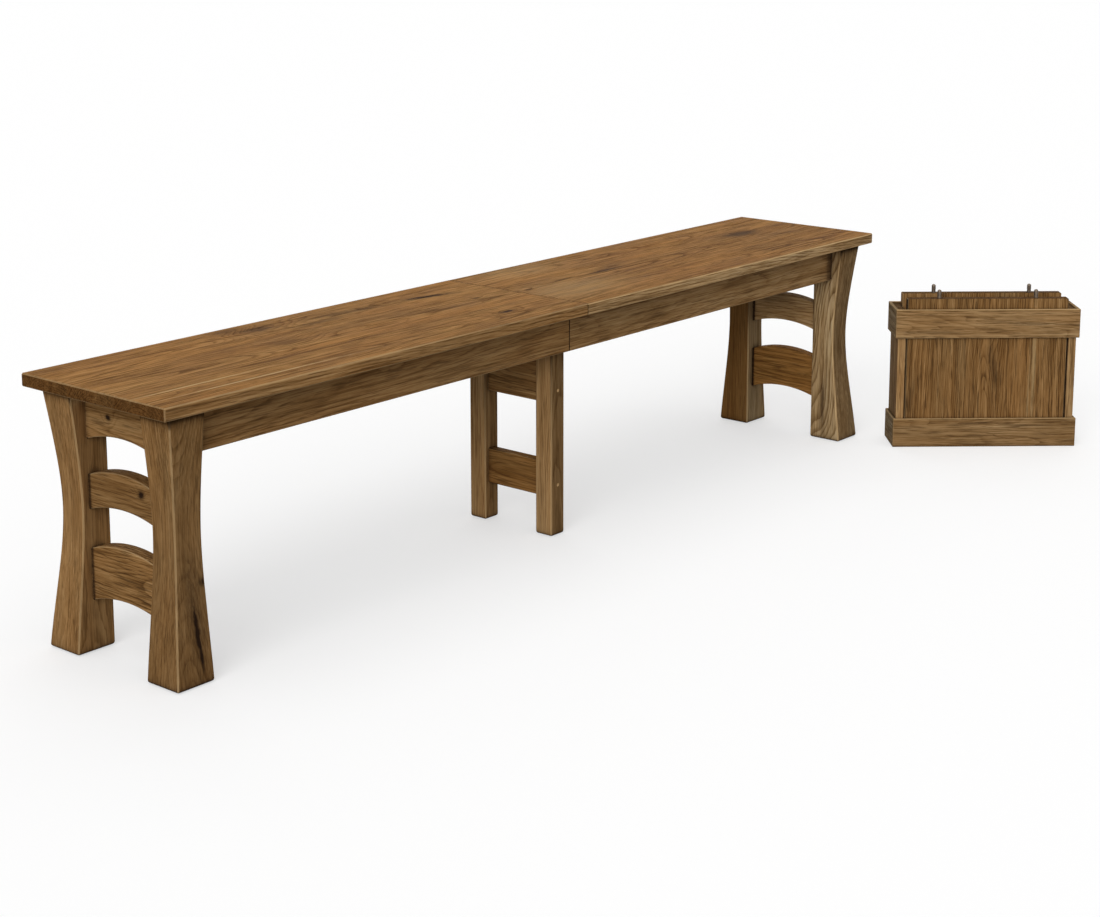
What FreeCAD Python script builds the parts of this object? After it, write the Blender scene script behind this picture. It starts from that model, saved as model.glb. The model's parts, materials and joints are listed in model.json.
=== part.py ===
import FreeCAD, Part
import math
import os
from FreeCAD import Rotation, Vector

# Extension bench: two halves slide apart on geared slides, over a support frame that stays in the middle.
# A crate beside the bench keeps the two leaves that fill the gap.
# Millimetres. +X runs along the bench, -Y is the front, +Z is up and the floor is at 0.
# Every piece is drawn with the bench centred on the seam, and the whole set is moved at the end.

# Top
bench_length = 1981.0
bench_width = 349.0
bench_height = 457.0
top_thickness = 22.0
seam_gap = 0.4
top_ease = 2.0
edge_slack = 1.0

# Leaves, and the pins that line up every seam
leaf_length = 304.8
leaf_ease = 1.5
pin_radius = 4.5
pin_spacing = 210.0
pin_bed = 20.0
pin_reach = 19.0
pin_hole_gap = 0.3
pin_hole_spare = 1.5

# End legs: square blocks, hollowed in a long curve on their two outer faces
leg_square = 75.0
leg_end_setback = 19.0
leg_front_setback = 15.0
shin_height, shin_inset = 95.0, 10.0
waist_height, waist_inset = 240.0, 21.0
shoulder_height, shoulder_inset = 345.0, 14.0
head_inset = 3.5
leg_ease = 2.5

# Aprons
apron_height = 74.0
apron_thickness = 19.0
apron_setback = 44.0
apron_gap = 1.6
apron_ease = 1.5

# End rails, set back behind the outer faces of the legs
end_rail_thickness = 25.0
end_rail_setback = 34.0
arch_rise = 14.0
top_rail_height = 81.0
middle_rail_low, middle_rail_height = 238.0, 58.5
lower_rail_low, lower_rail_height = 87.0, 87.5
rail_ease = 1.5

# Tenons
tenon_thickness = 12.0
tenon_shoulder = 8.0
apron_tenon_length = 28.0
tenon_wall = 3.0

# Centre support
centre_leg_width = 38.0
centre_leg_depth = 40.0
centre_leg_gap = 8.5
centre_leg_ease = 2.5
centre_rail_thickness = 19.0
upper_rail_low = 257.0
lower_centre_rail_low, lower_centre_rail_height = 74.0, 69.0
cross_head_thickness = 19.0
dowel_radius = 3.0
dowel_length = 70.0
dowel_lift = 25.0

# Geared slides: a grooved carrier in the middle, a runner of each half beside it and a pinion between racks
slide_gap = 0.3
slide_apron_gap = 14.6
gear_module = 3.0
pinion_teeth = 12
pinion_face = 10.0
pressure_angle = math.radians(20.0)
addendum = 0.7 * gear_module
dedendum = 0.95 * gear_module
backlash = 0.3
rack_backing = 4.0
axle_radius = 3.0
axle_gap = 0.05
axle_floor = 4.0
carrier_height = 40.0
carrier_spare = 6.0
groove_lift = 6.0
groove_height = 12.0
groove_depth = 9.0
slot_lift = 24.5
slot_end_gap = 1.0
runner_width = 21.0
runner_tail = 450.0
runner_relief = 1.0
stop_length = 20.0
stop_drop = 12.0

# Pieces under the tops
cleat_gap = 20.0
cleat_width = 40.0
cleat_thickness = 22.0
button_cleat_gap = 35.0
button_block_gap = 2.5
button_length = 30.0
button_width = 34.0
button_thickness = 16.0
button_tongue = 6.0
button_tongue_height = 8.0
button_gap = 0.3
corner_block_reach = 75.0
corner_block_height = 40.0

# Leaf crate
crate_board = 18.0
crate_band = 6.0
crate_band_height = 63.5
crate_leaf_rise = 22.1
crate_board_drop = 4.0
crate_edge_gap = 1.5
crate_face_gap = 0.5
crate_leaf_spread = 61.0
crate_floor_thickness = 18.0
crate_floor_lift = 5.0
spacer_thickness = 12.0
crate_ease = 1.2
crate_centre_x, crate_centre_y = 1109.0, -388.0
crate_turn = -48.7

# Sizes that follow from those above
half_length = bench_length / 2
half_width = bench_width / 2
under_top = bench_height - top_thickness
travel = leaf_length + seam_gap
top_start = seam_gap / 2
pin_height = under_top + top_thickness / 2

leg_outer_x = half_length - leg_end_setback
leg_inner_x = leg_outer_x - leg_square
leg_outer_y = half_width - leg_front_setback
leg_inner_y = leg_outer_y - leg_square
apron_outer_y = half_width - apron_setback
apron_inner_y = apron_outer_y - apron_thickness
apron_middle_y = apron_outer_y - apron_thickness / 2
rail_outer_x = leg_outer_x - end_rail_setback
rail_inner_x = rail_outer_x - end_rail_thickness
rail_middle_x = rail_outer_x - end_rail_thickness / 2
rail_tenon_length = apron_middle_y - tenon_thickness / 2 - tenon_wall - leg_inner_y

tooth_pitch = math.pi * gear_module
pitch_radius = gear_module * pinion_teeth / 2
pinion_tip = pitch_radius + addendum
pinion_root = pitch_radius - dedendum
pinion_base = pitch_radius * math.cos(pressure_angle)
rack_tip = pitch_radius - addendum
rack_root = pitch_radius + dedendum
rack_back = rack_root + rack_backing

runner_face = rack_tip
carrier_half_width = runner_face - slide_gap
rack_overrun = math.sqrt(pinion_tip ** 2 - runner_face ** 2) + slot_end_gap
rack_long_teeth = math.ceil((travel + rack_overrun) / tooth_pitch)
rack_short_teeth = math.ceil(rack_overrun / tooth_pitch)
runner_back = runner_face + runner_width
slide_middle_y = apron_inner_y - slide_apron_gap - runner_back
carrier_top = under_top - slide_gap
carrier_low = carrier_top - carrier_height
runner_low = carrier_low + slide_gap
cross_head_low = carrier_low - cross_head_thickness
cleat_place = runner_tail + cleat_gap + cleat_width / 2
inner_button = cleat_place + cleat_width / 2 + button_cleat_gap + button_length / 2
outer_button = rail_inner_x - corner_block_reach - button_block_gap - button_length / 2
centre_half_width = centre_leg_width / 2
centre_outer_y = apron_inner_y - centre_leg_gap
centre_inner_y = centre_outer_y - centre_leg_depth
runner_nose = travel + centre_half_width + slide_gap + stop_length
carrier_half_length = runner_nose + carrier_spare
groove_low = carrier_low + groove_lift
slot_low = carrier_low + slot_lift
slot_high = slot_low + pinion_face + 2 * slide_gap
pinion_low = slot_low + slide_gap

crate_inner_width = bench_width + 2 * crate_edge_gap
crate_board_outer = crate_inner_width / 2 + crate_board
crate_width = 2 * (crate_board_outer + crate_band)
crate_inner_depth = crate_leaf_spread + top_thickness + 2 * crate_face_gap
crate_depth = crate_inner_depth + 2 * crate_band
crate_floor_top = crate_floor_lift + crate_floor_thickness
leaf_low = crate_floor_top + slide_gap
leaf_top = leaf_low + leaf_length
crate_height = leaf_top - crate_leaf_rise


def block(x0, x1, y0, y1, z0, z1):
    """A box between two opposite corners, whose limits come in any order."""
    corner = Vector(min(x0, x1), min(y0, y1), min(z0, z1))
    return Part.makeBox(abs(x1 - x0), abs(y1 - y0), abs(z1 - z0), corner)


def rod(radius, start, end):
    """A round bar from one point to another."""
    run = end - start
    return Part.makeCylinder(radius, run.Length, start, run)


def prism(points, push):
    """A straight-sided outline pushed along a vector."""
    outline = Part.makePolygon(points + [points[0]])
    return Part.Face(outline).extrude(push)


def flip_x(shape):
    return shape.mirror(Vector(0, 0, 0), Vector(1, 0, 0))


def flip_y(shape):
    return shape.mirror(Vector(0, 0, 0), Vector(0, 1, 0))


def eased(shape, width, wanted):
    """Takes the sharpness off each edge whose middle passes the test."""
    return shape.makeChamfer(width, [edge for edge in shape.Edges if wanted(edge.CenterOfMass)])


def alignment_pin(base, direction):
    """A steel pin, half in its bed and half out."""
    run = Vector(direction).normalize()
    return rod(pin_radius, base - run * pin_bed, base + run * pin_reach)


def pin_beds(base_x, base_z, direction):
    """The two holes that hold pins, in an edge at right angles to the direction."""
    run = Vector(direction).normalize()
    return [rod(pin_radius, point - run * pin_bed, point) for point in seam_points(base_x, base_z)]


def pin_holes(base_x, base_z, direction):
    """The two holes that take the next piece's pins."""
    run = Vector(direction).normalize()
    depth = pin_reach + pin_hole_spare
    radius = pin_radius + pin_hole_gap
    return [rod(radius, point, point - run * depth) for point in seam_points(base_x, base_z)]


def seam_points(base_x, base_z):
    return [Vector(base_x, side * pin_spacing / 2, base_z) for side in (-1, 1)]


def cut_all(shape, tools):
    return shape.cut(Part.makeCompound(tools)) if tools else shape


# Right half. The left half is its mirror image, apart from the seam pins and the side its runners take.

def half_top():
    board = block(top_start, half_length, -half_width, half_width, under_top, bench_height)
    return eased(board, top_ease, lambda middle: middle.x > top_start + top_ease)


def leg_blank(outward, sideways):
    """A leg block that is curved on one face: outward is that face's side, sideways the block's width."""
    corner = Vector(leg_inner_x, -leg_inner_y, 0)
    up = Vector(0, 0, 1)
    stations = [
        (0, 0),
        (shin_inset, shin_height),
        (waist_inset, waist_height),
        (shoulder_inset, shoulder_height),
        (head_inset, under_top),
    ]
    points = [corner + outward * (leg_square - inset) + up * height for inset, height in stations]
    curve = Part.BSplineCurve()
    curve.interpolate(points)
    edges = [
        Part.LineSegment(corner, points[0]).toShape(),
        curve.toShape(),
        Part.LineSegment(points[-1], corner + up * under_top).toShape(),
        Part.LineSegment(corner + up * under_top, corner).toShape(),
    ]
    return Part.Face(Part.Wire(edges)).extrude(sideways * leg_square)


def end_leg():
    right, front = Vector(1, 0, 0), Vector(0, -1, 0)
    leg = leg_blank(right, front).common(leg_blank(front, right))
    leg = eased(leg, leg_ease, lambda middle: middle.z < under_top - leg_ease)
    low, high = under_top - apron_height + tenon_shoulder, under_top - tenon_shoulder
    leg = leg.cut(apron_tenon(low, high))
    for rail_low, height in end_rail_places():
        leg = leg.cut(rail_tenon(rail_low + tenon_shoulder, rail_low + height - tenon_shoulder, -1))
    return leg


def end_rail_places():
    """The lower edge, at its ends, and the height of each end rail, from the top down."""
    return [
        (under_top - top_rail_height, top_rail_height),
        (middle_rail_low, middle_rail_height),
        (lower_rail_low, lower_rail_height),
    ]


def rail_tenon(low, high, side):
    half = tenon_thickness / 2
    end = leg_inner_y + rail_tenon_length
    return block(rail_middle_x - half, rail_middle_x + half, side * leg_inner_y, side * end, low, high)


def apron_tenon(low, high):
    half = tenon_thickness / 2
    end = leg_inner_x + apron_tenon_length
    return block(leg_inner_x, end, -apron_middle_y - half, -apron_middle_y + half, low, high)


def seen_edge(middle):
    """Whether an edge with this middle is a long edge of a rail, clear of the underside of the top."""
    return abs(middle.y) < edge_slack and middle.z < under_top - edge_slack


def end_rail(low, height, arched_top):
    """A rail between the two legs of one end, arched below, and above too unless the top lies on it."""
    high = low + height
    left, right = -leg_inner_y, leg_inner_y

    def arch(level):
        ends = Vector(rail_inner_x, left, level), Vector(rail_inner_x, right, level)
        crown = Vector(rail_inner_x, 0, level + arch_rise)
        return Part.Arc(ends[0], crown, ends[1]).toShape()

    def straight(y0, z0, y1, z1):
        return Part.LineSegment(Vector(rail_inner_x, y0, z0), Vector(rail_inner_x, y1, z1)).toShape()

    upper = arch(high) if arched_top else straight(left, high, right, high)
    edges = [arch(low), straight(right, low, right, high), upper, straight(left, high, left, low)]
    outline = Part.Wire(Part.__sortEdges__(edges))
    rail = Part.Face(outline).extrude(Vector(end_rail_thickness, 0, 0))
    rail = eased(rail, rail_ease, lambda middle: middle.x > rail_middle_x and seen_edge(middle))
    for side in (-1, 1):
        rail = rail.fuse(rail_tenon(low + tenon_shoulder, high - tenon_shoulder, side))
    return rail.removeSplitter()


def apron():
    """The front apron of the right half, with its tenon and the slots for the buttons' tongues."""
    low = under_top - apron_height
    board = block(apron_gap / 2, leg_inner_x, -apron_outer_y, -apron_inner_y, low, under_top)
    board = eased(board, apron_ease, lambda middle: middle.z < low + edge_slack and middle.x > apron_ease)
    board = board.fuse(apron_tenon(low + tenon_shoulder, under_top - tenon_shoulder)).removeSplitter()
    return cut_all(board, [button_slot(place) for place in (inner_button, outer_button)])


def button_slot(place):
    half = button_length / 2 + button_gap
    low = under_top - button_thickness
    deep = apron_inner_y + button_tongue + button_gap
    return block(place - half, place + half, -apron_inner_y, -deep, low, low + button_tongue_height)


def button(place):
    """A wooden block under the top, whose tongue hooks into the apron."""
    half = button_length / 2
    low = under_top - button_thickness
    body = block(place - half, place + half, -apron_inner_y, -apron_inner_y + button_width, low, under_top)
    hook = -apron_inner_y - button_tongue
    tongue = block(place - half, place + half, hook, -apron_inner_y, low, low + button_tongue_height)
    return body.fuse(tongue).removeSplitter()


def corner_block():
    """A block across the corner of apron and end rail, notched round the leg."""
    low = under_top - corner_block_height
    outline = [
        (rail_inner_x - corner_block_reach, -apron_inner_y),
        (leg_inner_x, -apron_inner_y),
        (leg_inner_x, -leg_inner_y),
        (rail_inner_x, -leg_inner_y),
        (rail_inner_x, -apron_inner_y + corner_block_reach),
    ]
    return prism([Vector(x, y, low) for x, y in outline], Vector(0, 0, corner_block_height))


def cross_cleat():
    half = cleat_width / 2
    low = under_top - cleat_thickness
    return block(cleat_place - half, cleat_place + half, -apron_inner_y, apron_inner_y, low, under_top)


def runner(side):
    """The right half's front runner, on one side of its carrier: +1 is towards the middle, -1 away."""
    face = -slide_middle_y + side * runner_face
    back = -slide_middle_y + side * runner_back
    own = block(slide_gap, runner_tail, face, back, runner_low, under_top)
    reach = block(-runner_nose, slide_gap, face, back, runner_low, under_top - runner_relief)
    tongue_tip = face - side * (groove_depth - slide_gap)
    tongue_low = groove_low + slide_gap
    tongue_high = groove_low + groove_height - slide_gap
    tongue = block(-runner_nose, runner_tail, tongue_tip, face, tongue_low, tongue_high)
    beam = own.fuse([reach, tongue]).removeSplitter()
    bed_back = -slide_middle_y + side * rack_back
    bed_from, bed_to = -rack_long_teeth * tooth_pitch, rack_short_teeth * tooth_pitch
    return beam.cut(block(bed_from, bed_to, face, bed_back, pinion_low, pinion_low + pinion_face))


def rack(side):
    """The toothed strip in the front runner, with a gap between teeth at the pinion's middle."""
    slope = math.tan(pressure_angle)
    half_at_pitch = tooth_pitch / 4 - backlash / 2
    half_at_tip = half_at_pitch - addendum * slope
    half_at_root = half_at_pitch + dedendum * slope
    start, end = -rack_long_teeth * tooth_pitch, rack_short_teeth * tooth_pitch
    outline = [(start, rack_back), (start, rack_root)]
    for number in range(-rack_long_teeth, rack_short_teeth):
        middle = (number + 0.5) * tooth_pitch
        outline += [
            (middle - half_at_root, rack_root),
            (middle - half_at_tip, rack_tip),
            (middle + half_at_tip, rack_tip),
            (middle + half_at_root, rack_root),
        ]
    outline += [(end, rack_root), (end, rack_back)]
    points = [Vector(x, -slide_middle_y + side * reach, pinion_low) for x, reach in outline]
    return prism(points, Vector(0, 0, pinion_face))


def stop_block(side):
    """A block under the runner's nose, which meets the cross head when the half is drawn out."""
    face = -slide_middle_y + side * runner_face
    back = -slide_middle_y + side * runner_back
    return block(-runner_nose, -runner_nose + stop_length, face, back, runner_low - stop_drop, runner_low)


def half(side, holds_pins):
    """All pieces of the right half. side tells which side of the carriers its runners take."""
    outward = (-1, 0, 0)
    holes = pin_beds if holds_pins else pin_holes
    pieces = {
        "top": cut_all(half_top(), holes(top_start, pin_height, outward)),
        "apron_front": apron(),
        "leg_front": end_leg(),
        "runner_front": runner(side),
        "cross_cleat": cross_cleat(),
    }
    for name in ("apron", "leg", "runner"):
        pieces[name + "_rear"] = flip_y(pieces[name + "_front"])
    names = ("end_top_rail", "end_middle_rail", "end_lower_rail")
    for name, (low, height) in zip(names, end_rail_places()):
        pieces[name] = end_rail(low, height, arched_top=name != "end_top_rail")
    front_groups = {
        "racks": [rack(side)],
        "stop_blocks": [stop_block(side)],
        "corner_blocks": [corner_block()],
        "top_buttons": [button(place) for place in (inner_button, outer_button)],
    }
    for name, shapes in front_groups.items():
        pieces[name] = Part.makeCompound(shapes + [flip_y(shape) for shape in shapes])
    if holds_pins:
        pins = [alignment_pin(point, outward) for point in seam_points(top_start, pin_height)]
        pieces["seam_pins"] = Part.makeCompound(pins)
    return pieces


# Centre support

def centre_leg():
    leg = block(-centre_half_width, centre_half_width, -centre_outer_y, -centre_inner_y, 0, cross_head_low)
    return eased(leg, centre_leg_ease, lambda middle: middle.z < cross_head_low - centre_leg_ease)


def centre_rail(low, high):
    half = centre_rail_thickness / 2
    rail = block(-half, half, -centre_inner_y, centre_inner_y, low, high)
    under_head = cross_head_low - edge_slack
    return eased(rail, rail_ease, lambda middle: seen_edge(middle) and middle.z < under_head)


def centre_dowels():
    """One dowel from the face of each leg into the end of each rail."""
    dowels = []
    for low in (upper_rail_low, lower_centre_rail_low):
        height = low + dowel_lift
        outer = Vector(0, -centre_outer_y, height)
        dowels.append(rod(dowel_radius, outer, outer + Vector(0, dowel_length, 0)))
    return dowels + [flip_y(dowel) for dowel in dowels]


def slide_carrier():
    """The front carrier: a beam with a groove along each side and a slot for its pinion."""
    near, far = -slide_middle_y - carrier_half_width, -slide_middle_y + carrier_half_width
    beam = block(-carrier_half_length, carrier_half_length, near, far, carrier_low, carrier_top)
    for edge, inward in ((near, 1), (far, -1)):
        floor = edge + inward * groove_depth
        beam = beam.cut(block(-carrier_half_length, carrier_half_length, edge, floor,
                              groove_low, groove_low + groove_height))
    slot_half = pinion_tip + slot_end_gap
    beam = beam.cut(block(-slot_half, slot_half, near, far, slot_low, slot_high))
    return beam.cut(pinion_axle())


def pinion_axle():
    foot = Vector(0, -slide_middle_y, carrier_low + axle_floor)
    return rod(axle_radius, foot, Vector(0, -slide_middle_y, carrier_top))


def involute(radius):
    """The angle that an involute has turned by at a radius."""
    slope = math.sqrt((radius / pinion_base) ** 2 - 1)
    return slope - math.atan(slope)


def pinion():
    """A spur gear on the front carrier's axle, with the middle of a tooth towards the front."""
    half_at_pitch = math.pi / (2 * pinion_teeth) - backlash / (4 * pitch_radius)
    radii = [pinion_root, pinion_base, (pinion_base + pinion_tip) / 2, pinion_tip]
    outline = []
    for number in range(pinion_teeth):
        middle = -math.pi / 2 + number * 2 * math.pi / pinion_teeth
        for radius, side in [(r, -1) for r in radii] + [(r, 1) for r in reversed(radii)]:
            half_angle = half_at_pitch + involute(pitch_radius) - involute(max(radius, pinion_base))
            angle = middle + side * half_angle
            outline.append((radius * math.cos(angle), radius * math.sin(angle)))
    points = [Vector(x, y - slide_middle_y, pinion_low) for x, y in outline]
    gear = prism(points, Vector(0, 0, pinion_face))
    low = Vector(0, -slide_middle_y, pinion_low)
    return gear.cut(rod(axle_radius + axle_gap, low, low + Vector(0, 0, pinion_face)))


def centre_support():
    dowels = centre_dowels()
    leg = cut_all(centre_leg(), dowels)
    carrier = slide_carrier()
    lower_high = lower_centre_rail_low + lower_centre_rail_height
    return {
        "centre_leg_front": leg,
        "centre_leg_rear": flip_y(leg),
        "centre_upper_rail": cut_all(centre_rail(upper_rail_low, cross_head_low), dowels),
        "centre_lower_rail": cut_all(centre_rail(lower_centre_rail_low, lower_high), dowels),
        "centre_dowels": Part.makeCompound(dowels),
        "cross_head": block(-centre_half_width, centre_half_width, -centre_outer_y, centre_outer_y,
                            cross_head_low, carrier_low),
        "slide_carrier_front": carrier,
        "slide_carrier_rear": flip_y(carrier),
        "pinion_axles": Part.makeCompound([pinion_axle(), flip_y(pinion_axle())]),
        "pinion_front": pinion(),
        "pinion_rear": flip_y(pinion()),
    }


# Leaf crate, drawn with its front face towards -Y and turned into place afterwards

def crate_side_board():
    half = crate_inner_depth / 2
    high = crate_height - crate_board_drop
    board = block(crate_inner_width / 2, crate_board_outer, -half, half, 0, high)
    return eased(board, crate_ease, lambda middle: abs(middle.z - high) < edge_slack)


def crate_bands(x0, x1, y0, y1):
    """The top and bottom bands of one side."""
    heights = ((crate_height - crate_band_height, crate_height), (0, crate_band_height))
    bands = [block(x0, x1, y0, y1, low, high) for low, high in heights]
    return [eased(band, crate_ease, lambda middle: True) for band in bands]


def crate_leaf():
    """The front leaf: a piece of the top stood on end, pins up."""
    near = -crate_inner_depth / 2 + crate_face_gap
    board = block(-half_width, half_width, near, near + top_thickness, leaf_low, leaf_top)
    board = eased(board, leaf_ease, lambda middle: abs(middle.x) > half_width - edge_slack)
    middle_y = near + top_thickness / 2
    up = Vector(0, 0, 1)
    places = [Vector(side * pin_spacing / 2, middle_y, 0) for side in (-1, 1)]
    beds = [rod(pin_radius, place + up * (leaf_top - pin_bed), place + up * leaf_top) for place in places]
    depth = pin_reach + pin_hole_spare
    holes = [rod(pin_radius + pin_hole_gap, place + up * leaf_low, place + up * (leaf_low + depth))
             for place in places]
    pins = [alignment_pin(place + up * leaf_top, up) for place in places]
    return cut_all(board, beds + holes), Part.makeCompound(pins)


def crate():
    width, depth = crate_width / 2, crate_depth / 2
    inner_half = crate_inner_depth / 2
    board = crate_side_board()
    front_bands = crate_bands(-width, width, -depth, -inner_half)
    rear_bands = [flip_y(band) for band in front_bands]
    end_bands = crate_bands(crate_board_outer, width, -inner_half, inner_half)
    floor_half = crate_inner_width / 2
    spacer_half = (crate_leaf_spread - top_thickness) / 2 - crate_face_gap
    band_middle = crate_height - crate_band_height / 2
    spacer = block(floor_half - spacer_thickness, floor_half, -spacer_half, spacer_half,
                   crate_floor_top, band_middle)
    leaf, pins = crate_leaf()
    pieces = {
        "crate_side_left": flip_x(board),
        "crate_side_right": board,
        "crate_floor": block(-floor_half, floor_half, -inner_half, inner_half,
                             crate_floor_lift, crate_floor_top),
        "crate_front_top_band": front_bands[0],
        "crate_front_bottom_band": front_bands[1],
        "crate_rear_bands": Part.makeCompound(rear_bands),
        "crate_left_bands": Part.makeCompound([flip_x(band) for band in end_bands]),
        "crate_right_bands": Part.makeCompound(end_bands),
        "crate_spacers": Part.makeCompound([spacer, flip_x(spacer)]),
        "leaf_front": leaf,
        "leaf_front_pins": pins,
        "leaf_rear": flip_y(leaf),
        "leaf_rear_pins": flip_y(pins),
    }
    turn = Rotation(Vector(0, 0, 1), crate_turn)
    place = FreeCAD.Placement(Vector(crate_centre_x, crate_centre_y, 0), turn)
    return {name: shape.transformed(place.toMatrix()) for name, shape in pieces.items()}


def set_origin():
    """The middle of the floor under the whole set, bench and crate, in the bench's own frame."""
    turn = math.radians(crate_turn)
    reach_x = (crate_width * abs(math.cos(turn)) + crate_depth * abs(math.sin(turn))) / 2
    reach_y = (crate_width * abs(math.sin(turn)) + crate_depth * abs(math.cos(turn))) / 2
    low_x, high_x = -half_length, max(half_length, crate_centre_x + reach_x)
    low_y, high_y = min(-half_width, crate_centre_y - reach_y), half_width
    return Vector((low_x + high_x) / 2, (low_y + high_y) / 2, 0)


def all_pieces():
    """Every node by name, in the set's frame."""
    pieces = dict(centre_support())
    pieces.update(crate())
    # The right half's runners lie on the inner side of the carriers, the left half's on the outer side.
    for name, shape in half(1, holds_pins=True).items():
        pieces["right_" + name] = shape
    for name, shape in half(-1, holds_pins=False).items():
        pieces["left_" + name] = flip_x(shape)
    move = set_origin() * -1
    return {name: shape.translated(move) for name, shape in pieces.items()}


def main():
    os.makedirs("parts", exist_ok=True)
    for name, shape in sorted(all_pieces().items()):
        shape.exportStep(os.path.join("parts", name + ".step"))


if __name__ == "__main__":
    main()
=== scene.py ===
import json
import math

import bmesh
import bpy
from mathutils import Matrix, Vector
from mathutils.bvhtree import BVHTree

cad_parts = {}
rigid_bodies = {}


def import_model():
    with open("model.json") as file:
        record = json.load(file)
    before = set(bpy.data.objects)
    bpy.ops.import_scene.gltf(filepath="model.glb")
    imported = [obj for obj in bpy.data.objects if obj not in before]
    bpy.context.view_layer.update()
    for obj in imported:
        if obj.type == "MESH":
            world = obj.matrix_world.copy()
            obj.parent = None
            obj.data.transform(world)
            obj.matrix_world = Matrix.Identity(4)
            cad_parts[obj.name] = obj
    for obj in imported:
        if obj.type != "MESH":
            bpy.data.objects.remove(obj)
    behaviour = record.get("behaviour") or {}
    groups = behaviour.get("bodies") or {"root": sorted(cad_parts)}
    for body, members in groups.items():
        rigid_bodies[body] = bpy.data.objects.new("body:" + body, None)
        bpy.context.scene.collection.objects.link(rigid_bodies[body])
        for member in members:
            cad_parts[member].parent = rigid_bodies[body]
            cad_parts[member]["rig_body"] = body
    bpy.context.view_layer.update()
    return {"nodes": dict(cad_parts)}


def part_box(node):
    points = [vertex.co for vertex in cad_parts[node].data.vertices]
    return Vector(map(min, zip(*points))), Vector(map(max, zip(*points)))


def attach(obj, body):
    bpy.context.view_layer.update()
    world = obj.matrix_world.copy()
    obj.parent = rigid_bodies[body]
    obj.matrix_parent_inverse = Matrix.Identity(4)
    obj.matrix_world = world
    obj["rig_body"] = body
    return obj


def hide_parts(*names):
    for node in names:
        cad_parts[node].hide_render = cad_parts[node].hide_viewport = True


# Extension bench and its leaf crate, in stained hickory. Metres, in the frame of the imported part.
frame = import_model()
nodes = frame["nodes"]

# The photograph's camera: focus in the picture's pixels, angles in radians, place from the bench's middle
PICTURE_WIDTH = 1100
CAMERA_FOCUS = 2074.493
CAMERA_YAW = 0.8724
CAMERA_PITCH = 0.1896
CAMERA_SHIFT = -0.17
CAMERA_FROM_BENCH = Vector((-2.89116, -2.51081, 1.23025))
SENSOR_WIDTH = 36.0

X, Y, Z = Vector((1, 0, 0)), Vector((0, 1, 0)), Vector((0, 0, 1))


def middle(*names):
    """The middle of the box round some CAD nodes."""
    lows, highs = zip(*[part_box(name) for name in names])
    low = Vector(map(min, *lows)) if len(names) > 1 else lows[0]
    high = Vector(map(max, *highs)) if len(names) > 1 else highs[0]
    return (low + high) / 2


bench_middle = middle("left_top", "right_top")
bench_middle.z = 0


def make_camera():
    """The camera at the photograph's angle, shifted by the part of the framing that its pitch leaves."""
    data = bpy.data.cameras.new("camera")
    data.sensor_width = SENSOR_WIDTH
    data.lens = CAMERA_FOCUS / PICTURE_WIDTH * SENSOR_WIDTH
    data.shift_y = CAMERA_SHIFT
    camera = bpy.data.objects.new("camera", data)
    camera.location = bench_middle + CAMERA_FROM_BENCH
    camera.rotation_euler = (math.pi / 2 - CAMERA_PITCH, 0, -CAMERA_YAW)
    bpy.context.scene.collection.objects.link(camera)
    bpy.context.scene.camera = camera
    bpy.context.scene.view_settings.view_transform = "Standard"


# Node trees

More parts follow.
